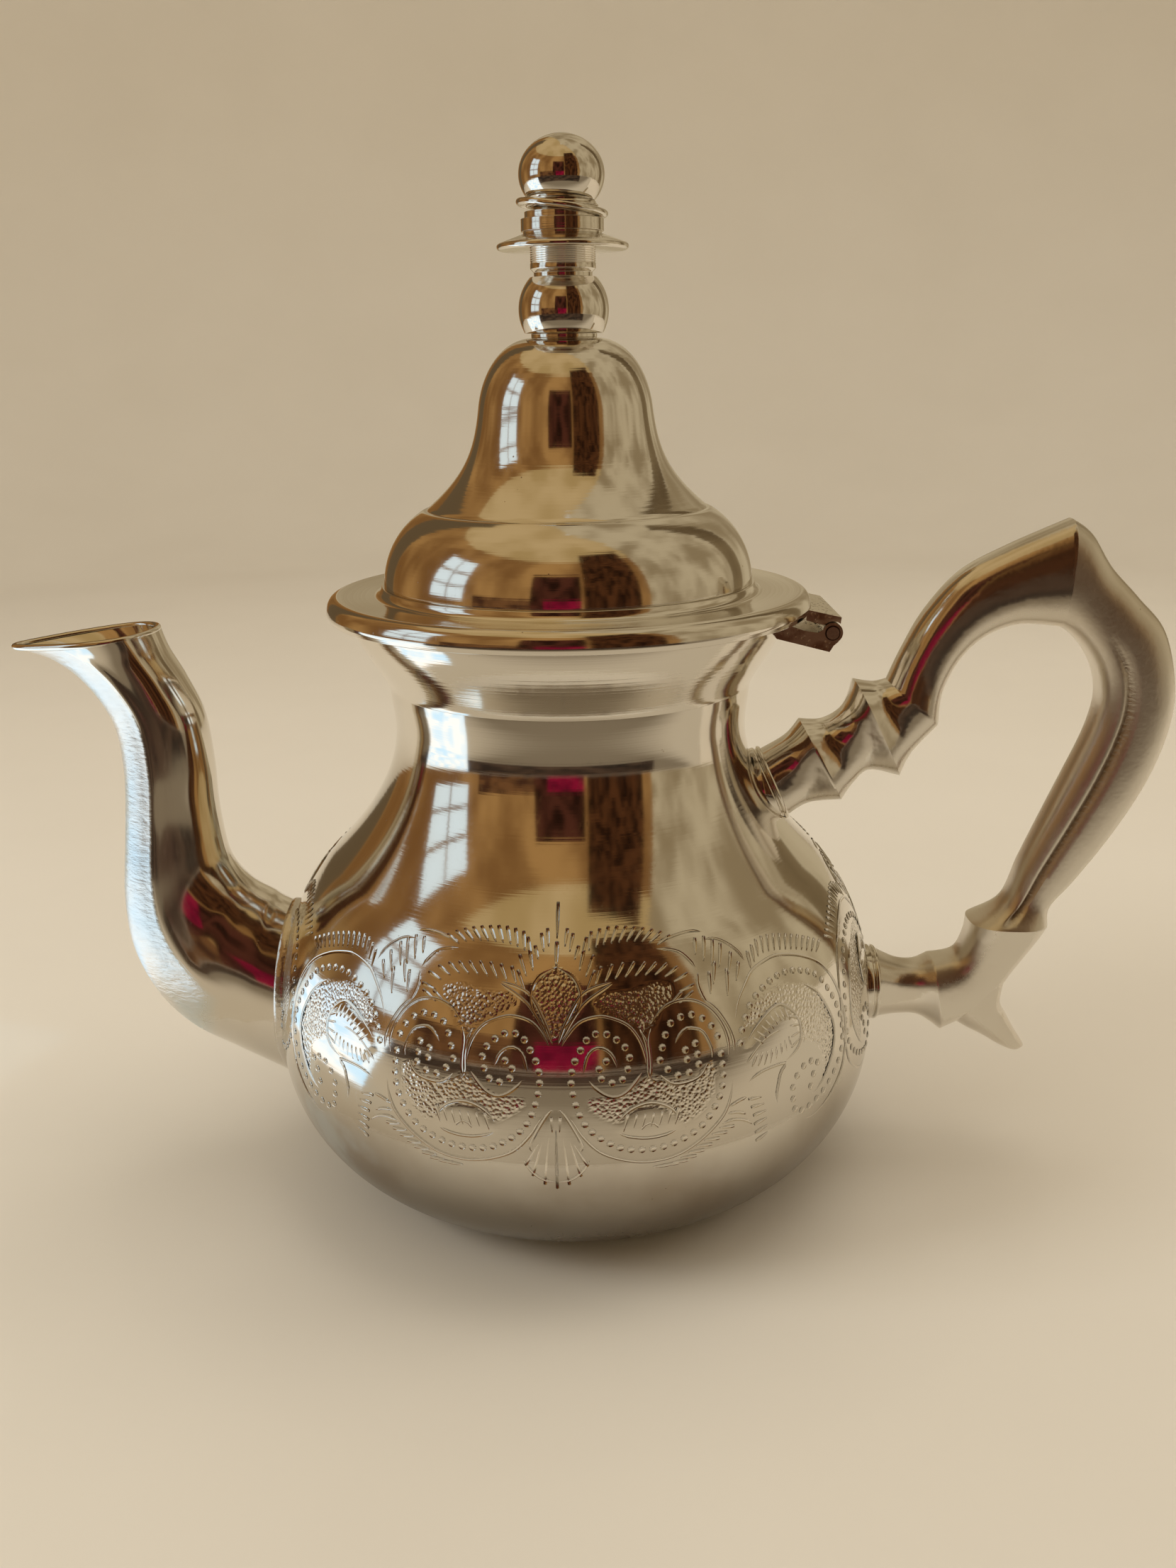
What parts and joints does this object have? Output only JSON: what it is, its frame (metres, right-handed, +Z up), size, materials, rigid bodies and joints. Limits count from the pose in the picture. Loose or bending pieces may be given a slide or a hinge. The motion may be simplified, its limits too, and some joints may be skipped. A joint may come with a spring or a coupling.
{
  "type": "teapot",
  "caption": "Footless bulbous metal teapot with a flared collar, a hinged bell-shaped lid with a turned finial, a swan-neck spout and a cast crook handle.",
  "frame": {"origin": "middle of the flat base, on the surface that the teapot stands on", "axes": "+Z up along the turned body's axis, -X towards the spout, +X towards the handle and the lid hinge, +Y to the back as seen with the spout on the left"},
  "size_m": [0.2476, 0.132, 0.2172],
  "materials": {
    "polished": "mirror-polished silver-coloured sheet, engraved round the belly",
    "brushed": "silver-coloured sheet, belt-brushed across the front and polished on the sides",
    "cast": "cast, filed and polished, with a brushed strip along the top",
    "turned": "turned and polished",
    "hinge_metal": "dull plated hinge strip, pitted and stained brown",
    "steel": "plain"
  },
  "bodies": {
    "pot": {"body_shell": "polished", "base_disc": "polished", "neck_collar": "polished", "spout_left_half": "brushed", "spout_right_half": "brushed", "spout_root_band": "polished", "handle": "cast", "handle_upper_flange": "cast", "handle_lower_flange": "cast", "hinge_lower_leaf": "hinge_metal", "hinge_pin": "steel"},
    "lid": {"lid_brim": "polished", "lid_dome": "polished", "lid_skirt": "polished", "hinge_upper_leaf": "hinge_metal", "finial_stud": "steel", "finial_nut": "steel", "finial_washer": "steel", "finial_base_ring": "turned", "finial_lower_ball": "turned", "finial_sleeve": "turned", "finial_disc": "turned", "finial_spacer": "turned", "finial_spring_ring": "turned", "finial_neck_bead": "turned", "finial_top_ball": "turned"}
  },
  "joints": [
    {"name": "lid_hinge", "type": "hinge", "parent": "pot", "child": "lid", "pos_m": [0.0535, 0, 0.1217], "axis": [0, 1, 0], "range_deg": [0, 100]}
  ]
}
